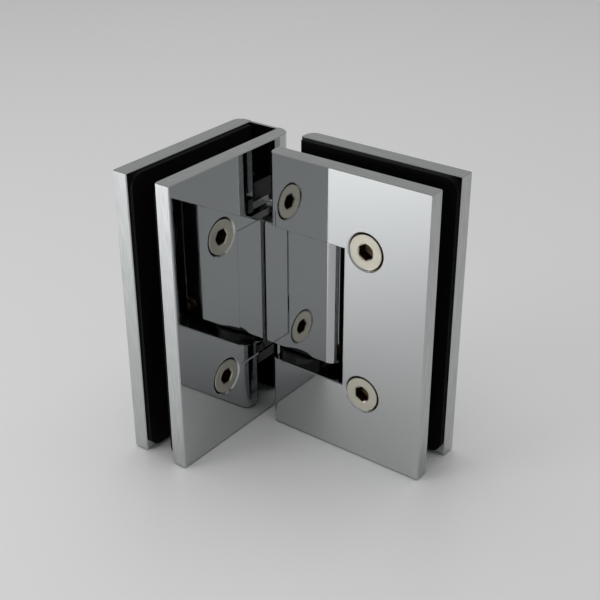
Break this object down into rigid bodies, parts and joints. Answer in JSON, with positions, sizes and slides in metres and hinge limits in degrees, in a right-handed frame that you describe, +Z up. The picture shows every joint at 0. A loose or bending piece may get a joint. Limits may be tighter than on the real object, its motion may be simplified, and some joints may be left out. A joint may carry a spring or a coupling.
{
  "type": "glass-to-glass shower hinge",
  "caption": "Polished right-angle shower hinge that clamps two glass panels between paired plates and swings the door panel about a vertical spindle.",
  "frame": {"origin": "on the floor under the middle of the hinge's outline, at the lower edges of its plates", "axes": "+Z up along the spindle; the fixed leaf runs towards -Y and faces +X; the door leaf runs towards +X and faces -Y"},
  "size_m": [0.0786, 0.0564, 0.09],
  "materials": {
    "polished_chrome": "mirror-polished chrome plate on brass",
    "black_rubber": "matte moulded black rubber",
    "screw_steel": "satin nickel-coloured stainless steel",
    "black_acetal": "matte moulded black acetal",
    "spring_steel": "ground steel"
  },
  "bodies": {
    "fixed_leaf": {"fixed_inner_plate": "polished_chrome", "fixed_outer_plate": "polished_chrome", "fixed_inner_gasket": "black_rubber", "fixed_outer_gasket": "black_rubber", "fixed_clamp_screws": "screw_steel", "pivot_block": "polished_chrome", "block_screws": "screw_steel", "detent_plungers": "spring_steel", "detent_springs": "spring_steel", "spring_plugs": "screw_steel", "upper_thrust_washer": "black_acetal"},
    "door_leaf": {"door_inner_plate": "polished_chrome", "door_outer_plate": "polished_chrome", "door_inner_gasket": "black_rubber", "door_outer_gasket": "black_rubber", "door_clamp_screws": "screw_steel", "spindle": "spring_steel", "upper_saddle": "black_acetal", "lower_saddle": "black_acetal", "lower_thrust_washer": "polished_chrome"}
  },
  "joints": [
    {"name": "door_swing", "type": "hinge", "parent": "fixed_leaf", "child": "door_leaf", "pos_m": [-0.00686, 0.018, 0.045], "axis": [0, 0, 1], "range_deg": [-90, 90]}
  ]
}
